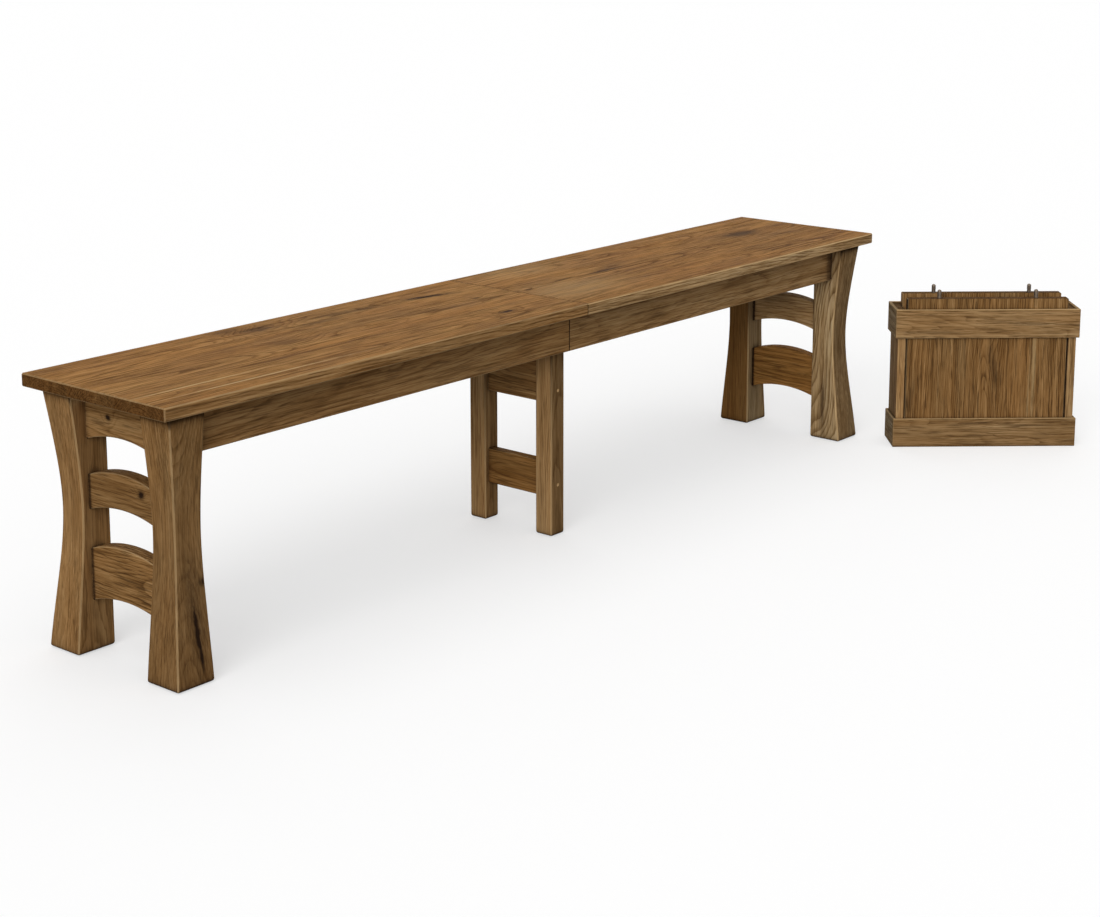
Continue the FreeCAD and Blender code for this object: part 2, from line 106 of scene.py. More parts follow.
class Graph:
    """Short calls that add shader nodes to one tree. Values are sockets or plain numbers."""

    def __init__(self, tree):
        self.tree = tree

    def add(self, kind, **settings):
        node = self.tree.nodes.new(kind)
        for name, value in settings.items():
            setattr(node, name, value)
        return node

    def put(self, socket, value):
        if isinstance(value, bpy.types.NodeSocket):
            self.tree.links.new(value, socket)
        elif value is not None:
            socket.default_value = value

    def math(self, operation, first, second=None, third=None, clamp=False):
        node = self.add("ShaderNodeMath", operation=operation, use_clamp=clamp)
        for socket, value in zip(node.inputs, (first, second, third)):
            self.put(socket, value)
        return node.outputs[0]

    def vector(self, operation, first, second=None):
        node = self.add("ShaderNodeVectorMath", operation=operation)
        self.put(node.inputs[0], first)
        self.put(node.inputs[1], second)
        return node.outputs["Value" if operation in ("LENGTH", "DOT_PRODUCT") else "Vector"]

    def combine(self, x, y, z):
        node = self.add("ShaderNodeCombineXYZ")
        for socket, value in zip(node.inputs, (x, y, z)):
            self.put(socket, value)
        return node.outputs[0]

    def separate(self, vector):
        node = self.add("ShaderNodeSeparateXYZ")
        self.put(node.inputs[0], vector)
        return node.outputs

    def noise(self, place, stretch, detail=2.0, roughness=0.5, colour=False):
        """Noise whose features are 1/stretch metres long along each axis."""
        node = self.add("ShaderNodeTexNoise")
        self.put(node.inputs["Vector"], self.vector("MULTIPLY", place, stretch))
        node.inputs["Scale"].default_value = 1.0
        node.inputs["Detail"].default_value = detail
        node.inputs["Roughness"].default_value = roughness
        return node.outputs["Color" if colour else "Fac"]

    def ramp(self, value, stops):
        """Straight steps between (value, level) stops, or (value, colour) stops."""
        node = self.add("ShaderNodeValToRGB")
        ramp = node.color_ramp
        while len(ramp.elements) < len(stops):
            ramp.elements.new(1.0)
        for element, (position, level) in zip(ramp.elements, stops):
            element.position = position
            colour = level if isinstance(level, tuple) else (level, level, level)
            element.color = (*colour, 1.0)
        self.put(node.inputs[0], value)
        return node.outputs["Color"]

    def mix(self, share, first, second, blend="MIX"):
        node = self.add("ShaderNodeMix", data_type="RGBA", blend_type=blend)
        node.clamp_factor = True
        self.put(node.inputs[0], share)
        for socket, value in ((node.inputs[6], first), (node.inputs[7], second)):
            self.put(socket, (*value, 1.0) if isinstance(value, tuple) else value)
        return node.outputs[2]

    def bump(self, height, strength, distance):
        node = self.add("ShaderNodeBump")
        node.inputs["Strength"].default_value = strength
        node.inputs["Distance"].default_value = distance
        self.put(node.inputs["Height"], height)
        return node.outputs[0]

    def group(self, tree, **values):
        node = self.add("ShaderNodeGroup", node_tree=tree)
        for name, value in values.items():
            self.put(node.inputs[name.replace("_", " ")], value)
        return node.outputs


def new_group(name, inputs, outputs):
    """An empty node group with its sockets: (name, kind, value) rows and (name, kind) rows."""
    tree = bpy.data.node_groups.new(name, "ShaderNodeTree")
    for title, kind, value in inputs:
        socket = tree.interface.new_socket(title, in_out="INPUT", socket_type="NodeSocket" + kind)
        if value is not None:
            socket.default_value = value
    for title, kind in outputs:
        tree.interface.new_socket(title, in_out="OUTPUT", socket_type="NodeSocket" + kind)
    graph = Graph(tree)
    return tree, graph, graph.add("NodeGroupInput").outputs, graph.add("NodeGroupOutput").inputs


# A mark's ragged outline, and how its shade falls from its heart to twice its size
RAGGED = (60.0, 260.0, 260.0)
RAGGED_REACH = 1.5
HEART = [(0.0, 1.0), (0.3, 0.95), (0.5, 0.45), (0.8, 0.1), (1.0, 0.0)]
BEND_FALL = -0.18


def mark_group():
    """A knot, a check, a pale patch, or a patch of painted shade or painted highlight on a board: it bends
    the rings round it and shades its heart.
    """
    tree, g, given, out = new_group(
        "mark",
        [("Board", "Vector", None), ("Place", "Vector", None), ("Size", "Vector", (0.03, 0.01, 0.03)),
         ("Lean", "Float", 0.0), ("Depth", "Float", 1.0), ("Bend", "Float", 0.0),
         ("Bulge", "Float", 0.0), ("Shade", "Float", 0.0)],
        [("Bulge", "Float"), ("Shade", "Float")],
    )
    level = g.add("ShaderNodeVectorRotate", rotation_type="Z_AXIS")
    g.put(level.inputs["Vector"], g.vector("SUBTRACT", given["Board"], given["Place"]))
    g.put(level.inputs["Angle"], g.math("MULTIPLY", given["Lean"], -1.0))
    away = g.vector("DIVIDE", level.outputs[0], given["Size"])
    ragged = g.math("SUBTRACT", g.noise(given["Board"], RAGGED, 3.0, 0.6), 0.5)
    reach = g.math("MULTIPLY_ADD", ragged, RAGGED_REACH, g.vector("LENGTH", away))
    heart = g.ramp(g.math("MULTIPLY", reach, 0.5), HEART)
    wide = g.math("EXPONENT", g.math("MULTIPLY", g.vector("DOT_PRODUCT", away, away), BEND_FALL))
    g.put(out["Bulge"], g.math("MULTIPLY_ADD", wide, given["Bend"], given["Bulge"]))
    g.put(out["Shade"], g.math("MULTIPLY_ADD", heart, given["Depth"], given["Shade"]))
    return tree


# How many of each feature of the wood fit in a metre along, across and through a board
WANDER = (1.6, 5.0, 5.0)
RIPPLE = (14.0, 34.0, 34.0)
FADE = (2.5, 22.0, 22.0)
BLOTCH = (6.0, 26.0, 26.0)
STREAK = (2.2, 130.0, 130.0)
FIBRE = (18.0, 520.0, 520.0)
PORE_PATCH = (6.0, 30.0, 30.0)
PORE = (17.0, 400.0, 400.0)
MINERAL = (3.2, 62.0, 62.0)
WARM = (3.0, 18.0, 18.0)

# How far the pith wanders and ripples, in metres
PITH_WANDER = (0.0, 0.06, 0.045)
PITH_RIPPLE = (0.0, 0.005, 0.005)
# A ring from its dark late wood to the next
RING_PROFILE = [(0.0, 1.0), (0.10, 0.75), (0.34, 0.22), (0.75, 0.0), (0.93, 0.1), (1.0, 1.0)]
# Where a noise turns into pores and into mineral lines
PORE_CUT = [(0.0, 0.0), (0.64, 0.0), (0.72, 1.0), (1.0, 1.0)]
MINERAL_CUT = [(0.0, 0.0), (0.62, 0.0), (0.74, 1.0), (1.0, 1.0)]

# How much each feature lightens or darkens the stain, round the middle level of the browns
MIDDLE_LEVEL = 0.54
CONTRAST_CENTRE = 0.48
STREAK_SHARE = 1.25
FIBRE_SHARE = 1.1
BLOTCH_SHARE = 0.7
LINE_SHARE = -0.40
MINERAL_SHARE = -0.2
PLANK_SHARE = 0.12
BROWNS = [
    (0.0, (0.085, 0.040, 0.013)),
    (0.28, (0.165, 0.084, 0.028)),
    (0.52, (0.265, 0.147, 0.056)),
    (0.75, (0.355, 0.211, 0.088)),
    (1.0, (0.460, 0.300, 0.140)),
]
# Tints multiply the stain. Colours are mixed into it.
WARM_TINT = (1.10, 0.93, 0.74)
GREY_SHIFT = (-0.12, 0.10, 0.50)
PORE_COLOUR = (0.050, 0.025, 0.010)
PORE_STRENGTH = 0.62
KNOT_AND_SHADE_COLOUR = (0.022, 0.011, 0.006)
PALE_AND_HIGHLIGHT_COLOUR = (0.46, 0.315, 0.150)
WORN_AND_HIGHLIGHT_COLOUR = (0.40, 0.27, 0.135)
END_TINT = (0.40, 0.37, 0.36)
END_STRENGTH = 0.9
STAIN_ROUGHNESS = 0.62


def hickory_group():
    """Stained hickory in board metres: X along the grain, Y across the board, Z through it."""
    tree, g, given, out = new_group(
        "hickory",
        [("Board", "Vector", None), ("Seed", "Float", 0.0), ("Plank", "Float", 10.0),
         ("Seam", "Float", 0.5), ("Pith", "Float", 0.06), ("Aside", "Float", 0.0),
         ("Drift", "Float", 0.05),
         ("Ring", "Float", 0.0042), ("Taper", "Float", 0.03), ("Figure", "Float", 1.0),
         ("Contrast", "Float", 1.0), ("Tone", "Float", 1.0), ("Grey", "Float", 0.0),
         ("Bulge", "Float", 0.0), ("Shade", "Float", 0.0), ("Edge", "Float", 0.0), ("End", "Float", 0.0)],
        [("Colour", "Color"), ("Roughness", "Float"), ("Height", "Float")],
    )
    along, across, through = g.separate(given["Board"])

    # Each plank of a glued-up board has its own wood.
    plank = g.math("ADD", g.math("DIVIDE", across, given["Plank"]), given["Seam"])
    number = g.math("FLOOR", plank)
    own = g.add("ShaderNodeTexWhiteNoise", noise_dimensions="2D")
    g.put(own.inputs["Vector"], g.combine(number, given["Seed"], 0.0))
    own_x, own_y, own_z = g.separate(own.outputs["Color"])
    in_plank = g.math("MULTIPLY", g.math("SUBTRACT", g.math("SUBTRACT", plank, number), 0.5), given["Plank"])
    aside = g.math("MULTIPLY_ADD", g.math("SUBTRACT", own_y, 0.5), given["Drift"], given["Aside"])
    place = g.vector("ADD", g.combine(along, across, through),
                     g.combine(g.math("MULTIPLY_ADD", own_x, 9.0, given["Seed"]),
                               g.math("MULTIPLY", own_y, 5.0), given["Seed"]))

    # Growth rings round a pith that wanders below the board
    half = (0.5, 0.5, 0.5)
    wander = g.vector("SUBTRACT", g.noise(place, WANDER, 2.0, 0.5, colour=True), half)
    ripple = g.vector("SUBTRACT", g.noise(place, RIPPLE, 3.0, 0.55, colour=True), half)
    shift = g.vector("ADD", g.vector("MULTIPLY", wander, PITH_WANDER),
                     g.vector("MULTIPLY", ripple, PITH_RIPPLE))
    _, shift_y, shift_z = g.separate(shift)
    ring_y = g.math("ADD", g.math("ADD", in_plank, aside), shift_y)
    ring_z = g.math("ADD", g.math("ADD", through, given["Pith"]), shift_z)
    radius = g.vector("LENGTH", g.combine(0.0, ring_y, ring_z))
    radius = g.math("ADD", g.math("MULTIPLY_ADD", along, given["Taper"], radius), given["Bulge"])
    rings = g.math("DIVIDE", radius, given["Ring"])
    uneven = g.noise(g.combine(rings, given["Seed"], 0.0), (0.37, 1.0, 1.0), 2.0)
    rings = g.math("MULTIPLY_ADD", uneven, 2.4, rings)
    line = g.ramp(g.math("FRACT", rings), RING_PROFILE)
    fade = g.noise(place, FADE, 3.0, 0.6)
    line = g.math("MULTIPLY", line, g.math("MULTIPLY_ADD", fade, 2.6, -0.6, clamp=True))

    # Blotches, streaks, fibres and open pores, each finer than the one before
    blotch = g.noise(place, BLOTCH, 4.0, 0.6)
    streak = g.noise(place, STREAK, 4.0, 0.68)
    fibre = g.noise(place, FIBRE, 3.0, 0.7)
    patches = g.noise(place, PORE_PATCH, 2.0)
    pore = g.noise(place, PORE, 2.0, 0.55)
    pore = g.math("MULTIPLY_ADD", line, 0.10, g.math("MULTIPLY_ADD", patches, 0.16, pore))
    pore = g.ramp(pore, PORE_CUT)
    mineral = g.ramp(g.noise(place, MINERAL, 4.0, 0.65), MINERAL_CUT)

    level = g.math("MULTIPLY_ADD", g.math("SUBTRACT", streak, 0.5), STREAK_SHARE, MIDDLE_LEVEL)
    level = g.math("MULTIPLY_ADD", g.math("SUBTRACT", fibre, 0.5), FIBRE_SHARE, level)
    level = g.math("MULTIPLY_ADD", g.math("SUBTRACT", blotch, 0.5), BLOTCH_SHARE, level)
    level = g.math("MULTIPLY_ADD", g.math("MULTIPLY", line, given["Figure"]), LINE_SHARE, level)
    level = g.math("MULTIPLY_ADD", mineral, MINERAL_SHARE, level)
    level = g.math("MULTIPLY_ADD", g.math("SUBTRACT", own_z, 0.5), PLANK_SHARE, level)
    level = g.math("SUBTRACT", level, CONTRAST_CENTRE)
    level = g.math("MULTIPLY_ADD", level, given["Contrast"], CONTRAST_CENTRE)
    colour = g.ramp(level, BROWNS)
    warm = g.noise(place, WARM, 3.0)
    colour = g.mix(g.math("MULTIPLY_ADD", warm, 1.4, -0.4, clamp=True), colour,
                   g.mix(1.0, colour, WARM_TINT, "MULTIPLY"))
    grey = g.vector("MULTIPLY", g.combine(given["Grey"], given["Grey"], given["Grey"]), GREY_SHIFT)
    colour = g.vector("MULTIPLY", colour, g.vector("ADD", grey, (1.0, 1.0, 1.0)))
    open_pore = g.math("MULTIPLY", pore, g.math("MULTIPLY", given["Contrast"], PORE_STRENGTH))
    colour = g.mix(open_pore, colour, PORE_COLOUR)
    # Knots, checks, the darker feet, and painted shade in corners, gaps and cast shadows all mix towards one
    # dark colour
    colour = g.mix(g.math("MAXIMUM", given["Shade"], 0.0), colour, KNOT_AND_SHADE_COLOUR)
    # Pale patches, and the painted highlight lines on the crate bands' top edges, mix towards one pale
    # colour
    colour = g.mix(g.math("MULTIPLY", given["Shade"], -1.0, clamp=True), colour, PALE_AND_HIGHLIGHT_COLOUR)
    # Eased edges turn paler: part wear of the stain, part painted highlight
    wear_and_highlight = g.math("MULTIPLY", given["Edge"], g.math("ADD", streak, 0.05, clamp=True))
    colour = g.mix(wear_and_highlight, colour, WORN_AND_HIGHLIGHT_COLOUR)
    sawn_end = g.math("MULTIPLY", given["End"], END_STRENGTH)
    colour = g.mix(sawn_end, colour, g.mix(1.0, colour, END_TINT, "MULTIPLY"))
    toned = g.vector("MULTIPLY", colour, g.combine(given["Tone"], given["Tone"], given["Tone"]))
    g.put(out["Colour"], toned)

    rough = g.math("MULTIPLY_ADD", pore, 0.14, STAIN_ROUGHNESS)
    rough = g.math("MULTIPLY_ADD", g.math("SUBTRACT", blotch, 0.5), 0.3, rough)
    g.put(out["Roughness"], g.math("MULTIPLY_ADD", given["End"], 0.12, rough))
    height = g.math("MULTIPLY_ADD", pore, -0.8, g.math("MULTIPLY", fibre, 0.3))
    height = g.math("MULTIPLY_ADD", line, -0.25, height)
    g.put(out["Height"], g.math("MULTIPLY_ADD", g.math("MAXIMUM", given["Shade"], 0.0), -0.9, height))
    return tree


mark = mark_group()
hickory = hickory_group()

# Little gloss: more of it washes out the top at a low angle
SHEEN = 0.01
BOARD_BUMP = (0.4, 0.0006)
# The feet of the legs turn darker towards the floor, up to this many metres above it
FOOT_DARK_HEIGHT = 0.02
FOOT_DARK_RAMP = [(0.0, 0.75), (0.12, 0.4), (0.5, 0.1), (1.0, 0.0)]
# Painted shade darkens the corners, joints and gaps, this near to another face
NOOK_REACH = 0.014
NOOK_SAMPLES = 6
NOOK_PAINTED_SHADE = [(0.0, 0.85), (0.45, 0.5), (0.8, 0.06), (0.92, 0.0), (1.0, 0.0)]


def board_frame(node, grain, across):
    """The rotation and the place that turn a CAD node's metres into board metres."""
    along = grain.normalized()
    side = across.normalized()
    turn = Matrix((along, side, along.cross(side)))
    return turn, turn @ middle(node)


FACING = [(0.0, 0.0), (0.62, 0.0), (0.9, 1.0), (1.0, 1.0)]


def facing(g, place, direction):
    """How squarely a face looks along a direction, as a soft 0 to 1."""
    share = g.math("ABSOLUTE", g.vector("DOT_PRODUCT", place.outputs["Normal"], tuple(direction)))
    return g.ramp(share, FACING)


def stained(name, node, grain, across, seed, marks=(), foot=False, side=None, ends=1.0, **look):
    """Hickory for one board.

    Marks are (place in bench metres, size, depth, lean, bend). Side is the tone and the greyness of the
    faces that look across the board, which paint light and shade on them; ends the strength of the dark
    end grain, and look the group's other inputs.
    """
    material = bpy.data.materials.new(name)
    material.use_nodes = True
    tree = material.node_tree
    g = Graph(tree)
    shader = tree.nodes["Principled BSDF"]
    place = g.add("ShaderNodeTexCoord")
    turn, centre = board_frame(node, grain, across)
    mapping = g.add("ShaderNodeMapping", vector_type="POINT")
    mapping.inputs["Rotation"].default_value = turn.to_euler()
    mapping.inputs["Location"].default_value = -centre
    g.put(mapping.inputs["Vector"], place.outputs["Object"])
    board = mapping.outputs[0]
    bulge, shade = 0.0, 0.0
    for spot, size, depth, lean, bend in marks:
        spot_on_board = tuple(turn @ (bench_middle + Vector(spot)) - centre)
        found = g.group(mark, Board=board, Place=spot_on_board, Size=size, Depth=depth,
                        Lean=math.radians(lean), Bend=bend, Bulge=bulge, Shade=shade)
        bulge, shade = found["Bulge"], found["Shade"]
    if foot:
        # Darker towards the floor
        height = g.separate(place.outputs["Object"])[2]
        foot_dark = g.ramp(g.math("MULTIPLY", height, 1 / FOOT_DARK_HEIGHT), FOOT_DARK_RAMP)
        shade = g.math("ADD", shade, foot_dark)
    # Ambient occlusion paints shade into the corners, joints and gaps
    nook = g.add("ShaderNodeAmbientOcclusion", samples=NOOK_SAMPLES)
    nook.inputs["Distance"].default_value = NOOK_REACH
    shade = g.math("ADD", shade, g.ramp(nook.outputs["AO"], NOOK_PAINTED_SHADE))
    edge = g.add("ShaderNodeAttribute", attribute_name="edge").outputs["Fac"]
    end = g.math("MULTIPLY", facing(g, place, grain.normalized()), ends)
    # Faces that look across the board get their own tone and greyness: painted light and shade
    if side:
        lit_side_share = facing(g, place, across.normalized())
        tone, grey = look["Tone"], look.get("Grey", 0.0)
        look["Tone"] = g.math("MULTIPLY_ADD", lit_side_share, side[0] - tone, tone)
        look["Grey"] = g.math("MULTIPLY_ADD", lit_side_share, side[1] - grey, grey)
    wood = g.group(hickory, Board=board, Seed=seed, Bulge=bulge, Shade=shade, Edge=edge, End=end, **look)
    g.put(shader.inputs["Base Color"], wood["Colour"])
    g.put(shader.inputs["Roughness"], wood["Roughness"])
    g.put(shader.inputs["Normal"], g.bump(wood["Height"], *BOARD_BUMP))
    shader.inputs["Specular IOR Level"].default_value = SHEEN
    return material


METAL_GRAIN = (400.0, 400.0, 2500.0)
METAL_CLOUD = (60.0, 60.0, 60.0)
METAL_BUMP = (0.2, 0.0001)
METAL_DARKER = 0.75


def metal(name, colour, roughness):
    """Turned steel with fine rings and a little variation."""
    material = bpy.data.materials.new(name)
    material.use_nodes = True
    g = Graph(material.node_tree)
    shader = material.node_tree.nodes["Principled BSDF"]
    place = g.add("ShaderNodeTexCoord").outputs["Object"]
    grain = g.noise(place, METAL_GRAIN, 3.0)
    cloud = g.noise(place, METAL_CLOUD, 3.0)
    darker = tuple(share * METAL_DARKER for share in colour)
    g.put(shader.inputs["Base Color"], g.mix(cloud, darker, colour))
    g.put(shader.inputs["Roughness"], g.math("MULTIPLY_ADD", grain, 0.2, roughness - 0.1))
    g.put(shader.inputs["Normal"], g.bump(grain, *METAL_BUMP))
    shader.inputs["Metallic"].default_value = 1.0
    return material


def smooth_object(mesh, name, material):
    """Turns a finished mesh into an object with even shading."""
    for face in mesh.faces:
        face.smooth = True
    data = bpy.data.meshes.new(name)
    mesh.to_mesh(data)
    mesh.free()
    data.materials.append(material)
    piece = bpy.data.objects.new(name, data)
    bpy.context.scene.collection.objects.link(piece)
    piece.modifiers.new("even_shading", "WEIGHTED_NORMAL").keep_sharp = True
    return piece


# Rounded copies of the CAD solids

# Points this near become one point, and faces within this angle one flat face
WELD = 0.00001
FLAT = math.radians(0.4)


def clean_mesh(node):
    """A CAD node's mesh with its flat faces whole again."""
    mesh = bmesh.new()
    mesh.from_mesh(nodes[node].data)
    bmesh.ops.remove_doubles(mesh, verts=mesh.verts, dist=WELD)
    bmesh.ops.dissolve_limit(mesh, angle_limit=FLAT, verts=mesh.verts, edges=mesh.edges)
    return mesh


def solid_trees():
    """Each CAD node's surface for near-point searches, with its box."""
    trees = {}
    for name, node in nodes.items():
        points = [vertex.co.copy() for vertex in node.data.vertices]
        faces = [tuple(face.vertices) for face in node.data.polygons]
        low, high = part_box(name)
        trees[name] = (BVHTree.FromPolygons(points, faces), low, high)
    return trees


# Two pieces this near touch
TOUCH = 0.0002
solids = solid_trees()


def against_another(point, node):
    """Whether a point of a node lies on another node."""
    for name, (tree, low, high) in solids.items():
        two_halves = {name.split("_")[0], node.split("_")[0]} == {"left", "right"}
        outside = any(point[i] < low[i] - TOUCH or point[i] > high[i] + TOUCH for i in range(3))
        if name == node or two_halves or outside:
            continue
        if tree.find_nearest(point, TOUCH)[0] is not None:
            return True
    return False


def slanted(normal, turn):
    """Whether a face leans between two of its board's three directions, as an eased edge does."""
    return sorted(abs(share) for share in turn @ normal)[1] > 0.5


SOLE_ROUND = 0.006
SOLE_STEPS = (0.06, 0.2, 0.42, 0.7, 1.0)


def round_sole(mesh):
    """Turns the last few millimetres above the floor inwards, as the feet of the legs are."""
    for share in SOLE_STEPS:
        whole = mesh.verts[:] + mesh.edges[:] + mesh.faces[:]
        bmesh.ops.bisect_plane(mesh, geom=whole, plane_co=(0, 0, SOLE_ROUND * share), plane_no=(0, 0, 1))
    low = [vertex for vertex in mesh.verts if vertex.co.z < SOLE_ROUND - TOUCH / 10]
    for axis in (0, 1):
        least = min(vertex.co[axis] for vertex in low)
        most = max(vertex.co[axis] for vertex in low)
        for vertex in low:
            rise = 1 - vertex.co.z / SOLE_ROUND
            inset = SOLE_ROUND * (1 - math.sqrt(1 - min(rise, 1.0) ** 2))
            vertex.co[axis] += ((least + most) / 2 - vertex.co[axis]) * inset / ((most - least) / 2)


# Edges that turn by more than this are eased
CORNER = math.radians(20)
# The weight of the shading modifier at which the large flat faces stay flat
LARGE_FACES_LEAD = 100


def rounded(node, material, turn, width, foot):
    """A piece that stands for a CAD node, with its free edges rounded and marked for a paler colour: part
    wear, part painted highlight.
    """
    mesh = clean_mesh(node)
    narrow = mesh.faces.layers.float.new("edge")
    free = []
    for edge in mesh.edges:
        sole = foot and all(vertex.co.z < TOUCH for vertex in edge.verts)
        if len(edge.link_faces) == 2 and not sole and edge.calc_face_angle() > CORNER:
            if not against_another((edge.verts[0].co + edge.verts[1].co) / 2, node):
                free.append(edge)
    bmesh.ops.bevel(mesh, geom=free, offset=width, offset_type="OFFSET", segments=2, profile=0.5,
                    affect="EDGES", clamp_overlap=True, material=-1)
    mesh.normal_update()
    for face in mesh.faces:
        if slanted(face.normal, turn):
            face[narrow] = 1.0
    if foot:
        round_sole(mesh)
    for edge in mesh.edges:
        edge.smooth = True
    piece = smooth_object(mesh, node + "_wood", material)
    piece.modifiers["even_shading"].weight = LARGE_FACES_LEAD
    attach(piece, nodes[node]["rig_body"])
    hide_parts(node)


# Metal drawn in mesh code

def islands(node):
    """The separate solids of a CAD node, each as its list of corner points."""
    mesh = clean_mesh(node)
    mesh.verts.index_update()
    seen = set()
    found = []
    for start in mesh.verts:
        if start.index in seen:
            continue
        seen.add(start.index)
        group, rim = [start], [start]
        while rim:
            for edge in rim.pop().link_edges:
                for vertex in edge.verts:
                    if vertex.index not in seen:
                        seen.add(vertex.index)
                        group.append(vertex)
                        rim.append(vertex)
        found.append([vertex.co.copy() for vertex in group])
    mesh.free()
    return found


TURNED_SIDES = 20


def turned(mesh, place, axis, profile):
    """Adds a closed turned shape: (distance along the axis, radius) steps from one end to the other."""
    turn = axis.to_track_quat("Z", "X").to_matrix()
    rows = []
    for height, radius in profile:
        ring = []
        for step in range(TURNED_SIDES):
            angle = 2 * math.pi * step / TURNED_SIDES
            point = Vector((radius * math.cos(angle), radius * math.sin(angle), height))
            ring.append(mesh.verts.new(place + turn @ point))
        rows.append(ring)
    for lower, upper in zip(rows, rows[1:]):
        for step in range(TURNED_SIDES):
            after = (step + 1) % TURNED_SIDES
            mesh.faces.new((lower[step], lower[after], upper[after], upper[step]))
    mesh.faces.new(list(reversed(rows[0])))
    mesh.faces.new(rows[-1])


def piece_from(mesh, name, material, body):
    """A smooth piece that rides on a body."""
    bmesh.ops.recalc_face_normals(mesh, faces=mesh.faces)
    piece = smooth_object(mesh, name, material)
    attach(piece, body)
    return piece


# An alignment pin: its domed nose, the groove behind it, and the eased edge of its foot
PIN_NOSE = 0.0045
PIN_NOSE_STEPS = (0.0, 0.2, 0.4, 0.6, 0.78, 0.9, 0.97, 1.0)
PIN_NOSE_POWER = 2.2
PIN_TIP = 0.12
PIN_GROOVE = [(0.0100, 1.0), (0.0096, 0.90), (0.0086, 0.90), (0.0082, 1.0)]
PIN_EASE = 0.0006
PIN_FOOT = 0.86


def round_nosed_pins(node, axis, material):
    """The turned pins that stand for a CAD node's plain ones, their noses towards the axis."""
    mesh = bmesh.new()
    for points in islands(node):
        heights = [point.dot(axis) for point in points]
        low, high = min(heights), max(heights)
        centre = sum(points, Vector()) / len(points)
        centre -= axis * centre.dot(axis)
        radius = max((point - centre - axis * point.dot(axis)).length for point in points)
        steps = [(low, radius * PIN_FOOT), (low + PIN_EASE, radius)]
        steps += [(high - PIN_NOSE - back, radius * share) for back, share in PIN_GROOVE]
        for share in PIN_NOSE_STEPS:
            narrowed = max(PIN_TIP, math.sqrt(1 - share ** PIN_NOSE_POWER))
            steps.append((high - PIN_NOSE * (1 - share), radius * narrowed))
        turned(mesh, centre, axis, steps)
    piece = piece_from(mesh, node + "_turned", material, nodes[node]["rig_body"])
    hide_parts(node)


# A screw head: radius, how far it stands out, the width of its slot, the slot's floor and its edge
SCREW_HEAD = 0.0042
SCREW_RISE = 0.0006
SCREW_SLOT = 0.0010
SLOT_FLOOR = 0.3
SCREW_EDGE = [(0.0, 1.0), (0.6, 1.0), (1.0, 0.93)]
SCREW_INNER = 0.97
HALF_STEPS = 12
# Each screw's slot stands at its own angle, in radians from the one before
SCREW_TURN = 2.4


def slotted_head(mesh, place, turn):
    """A countersunk screw head with its slot, in an underside: its two halves and the floor of the slot."""
    start = math.asin(SCREW_SLOT / 2 / SCREW_HEAD)
    for half in (0, 1):
        rim = []
        for step in range(HALF_STEPS + 1):
            angle = start + (math.pi - 2 * start) * step / HALF_STEPS + half * math.pi
            rim.append(Vector((SCREW_HEAD * math.cos(angle), SCREW_HEAD * math.sin(angle), 0)))
        rows = []
        for depth, share in SCREW_EDGE:
            down = Vector((0, 0, SCREW_RISE * depth))
            rows.append([mesh.verts.new(place + turn @ (point * share - down)) for point in rim])
        mesh.faces.new(rows[0])
        mesh.faces.new(list(reversed(rows[-1])))
        for upper, lower in zip(rows, rows[1:]):
            for step in range(len(rim)):
                after = (step + 1) % len(rim)
                mesh.faces.new((upper[step], upper[after], lower[after], lower[step]))
    radius = SCREW_HEAD * SCREW_INNER
    turned(mesh, place, Vector((0, 0, -1)), [(0.0, radius), (SCREW_RISE * SLOT_FLOOR, radius)])


def undersides(node, count):
    """Places for screws under each solid of a node, spread along its longer side."""
    spots = []
    for points in islands(node):
        low = Vector([min(point[i] for point in points) for i in range(3)])
        high = Vector([max(point[i] for point in points) for i in range(3)])
        centre = sum(points, Vector()) / len(points)
        longest = 0 if high.x - low.x > high.y - low.y else 1
        for step in range(count):
            spot = Vector((centre.x, centre.y, low.z))
            if count > 1:
                spot[longest] = low[longest] + (high[longest] - low[longest]) * (step + 0.5) / count
            spots.append(spot)
    return spots


def under_screws(name, spots, material, body):
    """One piece with a screw head at each place."""
    mesh = bmesh.new()
    for number, spot in enumerate(spots):
        slotted_head(mesh, spot, Matrix.Rotation(number * SCREW_TURN, 3, "Z"))
    piece_from(mesh, name, material, body)


# Stage

FLOOR_REACH = 60.0
# The floor lies this much lower than the feet, so that the two don't share a plane
FLOOR_DROP = 0.0002
# What the floor gives back to the object, and how much of its white is its own glow
FLOOR_BOUNCE = 0.25
FLOOR_GLOW = 0.5
# The share of the white world that lights the object
AMBIENT = 0.20
# (name, direction towards the lamp, strength, spread in degrees)
LAMPS = [
    ("key", (-0.84, -0.36, 0.40), 2.2, 45.0),
    ("overhead", (-0.10, -0.05, 0.99), 1.1, 70.0),
    ("front", (0.10, -0.95, 0.30), 0.45, 70.0),
    ("fill", (0.72, 0.52, 0.46), 0.8, 70.0),
]


def seen_by_eye(g):
    """1 for rays that show the surroundings: straight from the camera, mirrored or through glass."""
    path = g.add("ShaderNodeLightPath").outputs
    seen = g.math("MAXIMUM", path["Is Camera Ray"], path["Is Glossy Ray"])
    return g.math("MAXIMUM", seen, path["Is Transmission Ray"])


